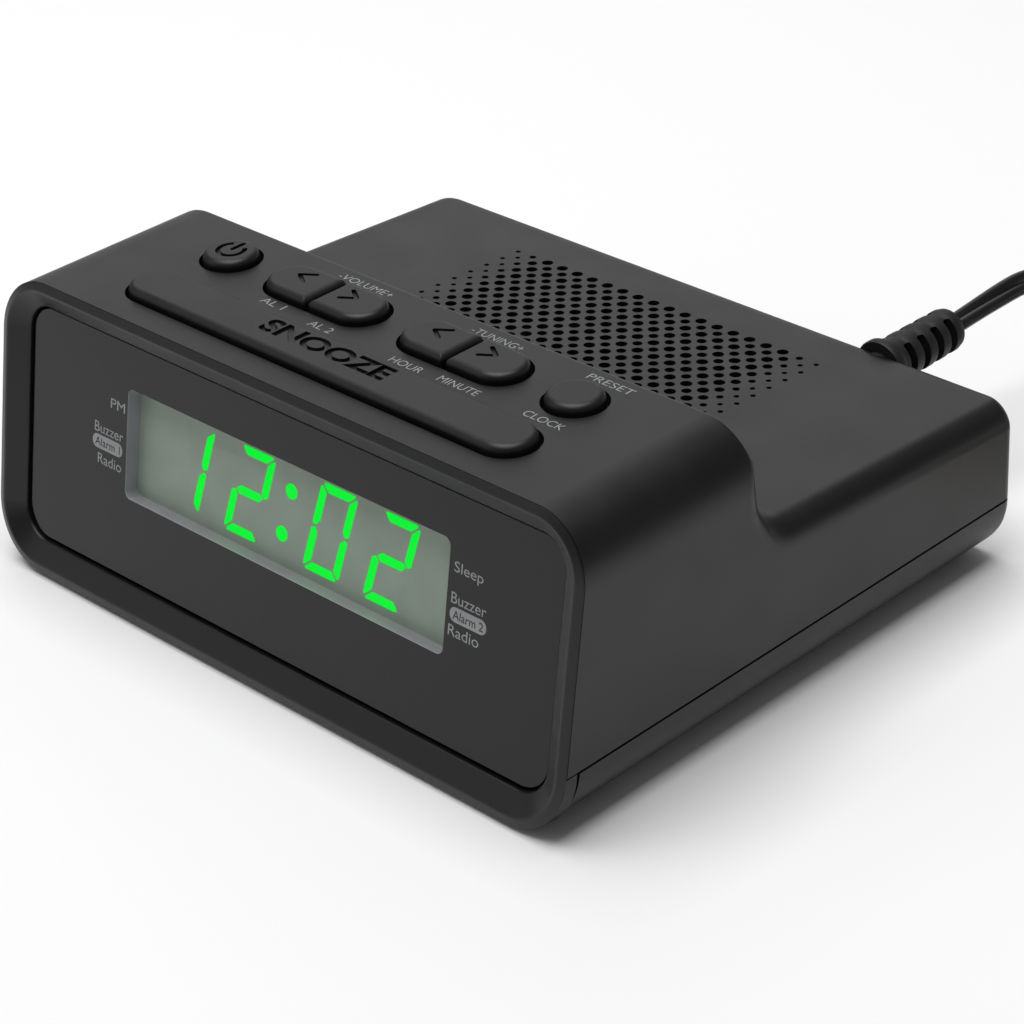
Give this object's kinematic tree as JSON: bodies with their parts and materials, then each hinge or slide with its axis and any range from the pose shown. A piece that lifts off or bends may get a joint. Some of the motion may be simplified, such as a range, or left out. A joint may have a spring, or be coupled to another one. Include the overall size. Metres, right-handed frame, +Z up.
{
  "type": "clock radio",
  "caption": "Mains bedside clock radio with a green LED clock behind a smoked front, rubber keys on the raised front block and a perforated speaker deck behind.",
  "frame": {"origin": "centre of the cabinet's footprint at the bottom of the feet, mains lead not counted", "axes": "+X to the right seen from the front, the clock face looks along -Y, +Z up"},
  "size_m": [0.1981, 0.2421, 0.0588],
  "materials": {
    "cabinet_plastic": "fine matte moulded",
    "button_rubber": "soft matte",
    "panel_gloss": "smooth smoked",
    "window_clear": "clear smoked",
    "diffuser_green": "satin translucent",
    "grey_plastic": "matte",
    "circuit_board": "solder mask",
    "steel": "satin",
    "cone_paper": "matte",
    "dark_ferrite": "matte",
    "copper_wire": "enamelled",
    "cell_wrap": "printed wrap",
    "foot_rubber": "matte",
    "cord_pvc": "satin",
    "brass": "polished"
  },
  "bodies": {
    "case": {"top_cabinet": "cabinet_plastic", "bottom_cabinet": "cabinet_plastic", "front_bezel": "cabinet_plastic", "lens_panel": "panel_gloss", "display_window": "window_clear", "foot_front_left": "foot_rubber", "foot_front_right": "foot_rubber", "foot_rear_left": "foot_rubber", "foot_rear_right": "foot_rubber", "display_frame": "grey_plastic", "display_diffuser": "diffuser_green", "led_display_module": "grey_plastic", "display_board": "circuit_board", "display_screw_left": "steel", "display_screw_right": "steel", "key_board": "circuit_board", "key_board_screw_left": "steel", "key_board_screw_right": "steel", "power_switch": "grey_plastic", "volume_down_switch": "grey_plastic", "volume_up_switch": "grey_plastic", "tuning_down_switch": "grey_plastic", "tuning_up_switch": "grey_plastic", "preset_switch": "grey_plastic", "snooze_switch": "grey_plastic", "speaker_basket": "steel", "speaker_cone": "cone_paper", "speaker_magnet": "dark_ferrite", "transformer_core": "dark_ferrite", "transformer_coil": "copper_wire", "main_board": "circuit_board", "board_screw_left": "steel", "board_screw_right": "steel", "tuner_can": "steel", "audio_chip": "dark_ferrite", "filter_capacitor": "cell_wrap", "ferrite_rod": "dark_ferrite", "antenna_coil": "copper_wire", "backup_battery": "cell_wrap", "battery_clip": "dark_ferrite", "case_screw_front_left": "steel", "case_screw_front_right": "steel", "case_screw_rear_left": "steel", "case_screw_rear_right": "steel", "cord_lead": "cord_pvc", "cord_coil": "cord_pvc", "cord_tail": "cord_pvc", "plug_body": "cord_pvc", "plug_blade_left": "brass", "plug_blade_right": "brass", "strain_relief": "cord_pvc"},
    "power_key": {"power_button": "button_rubber"},
    "volume_down_key": {"volume_down_button": "button_rubber"},
    "volume_up_key": {"volume_up_button": "button_rubber"},
    "tuning_down_key": {"tuning_down_button": "button_rubber"},
    "tuning_up_key": {"tuning_up_button": "button_rubber"},
    "preset_key": {"preset_button": "button_rubber"},
    "snooze_key": {"snooze_button": "button_rubber"},
    "battery_hatch": {"battery_door": "cabinet_plastic"}
  },
  "joints": [
    {"name": "power_press", "type": "slide", "parent": "case", "child": "power_key", "axis": [0, 0, -1], "range_m": [0, 0.001], "stiffness_N_per_m": 400, "springref_m": -0.0005},
    {"name": "volume_down_press", "type": "slide", "parent": "case", "child": "volume_down_key", "axis": [0, 0, -1], "range_m": [0, 0.001], "stiffness_N_per_m": 400, "springref_m": -0.0005},
    {"name": "volume_up_press", "type": "slide", "parent": "case", "child": "volume_up_key", "axis": [0, 0, -1], "range_m": [0, 0.001], "stiffness_N_per_m": 400, "springref_m": -0.0005},
    {"name": "tuning_down_press", "type": "slide", "parent": "case", "child": "tuning_down_key", "axis": [0, 0, -1], "range_m": [0, 0.001], "stiffness_N_per_m": 400, "springref_m": -0.0005},
    {"name": "tuning_up_press", "type": "slide", "parent": "case", "child": "tuning_up_key", "axis": [0, 0, -1], "range_m": [0, 0.001], "stiffness_N_per_m": 400, "springref_m": -0.0005},
    {"name": "preset_press", "type": "slide", "parent": "case", "child": "preset_key", "axis": [0, 0, -1], "range_m": [0, 0.001], "stiffness_N_per_m": 400, "springref_m": -0.0005},
    {"name": "snooze_press", "type": "slide", "parent": "case", "child": "snooze_key", "axis": [0, 0, -1], "range_m": [0, 0.001], "stiffness_N_per_m": 400, "springref_m": -0.0005},
    {"name": "battery_door_swing", "type": "hinge", "parent": "case", "child": "battery_hatch", "pos_m": [-0.034, -0.0064, 0.0011], "axis": [1, 0, 0], "range_deg": [0, 65]}
  ]
}
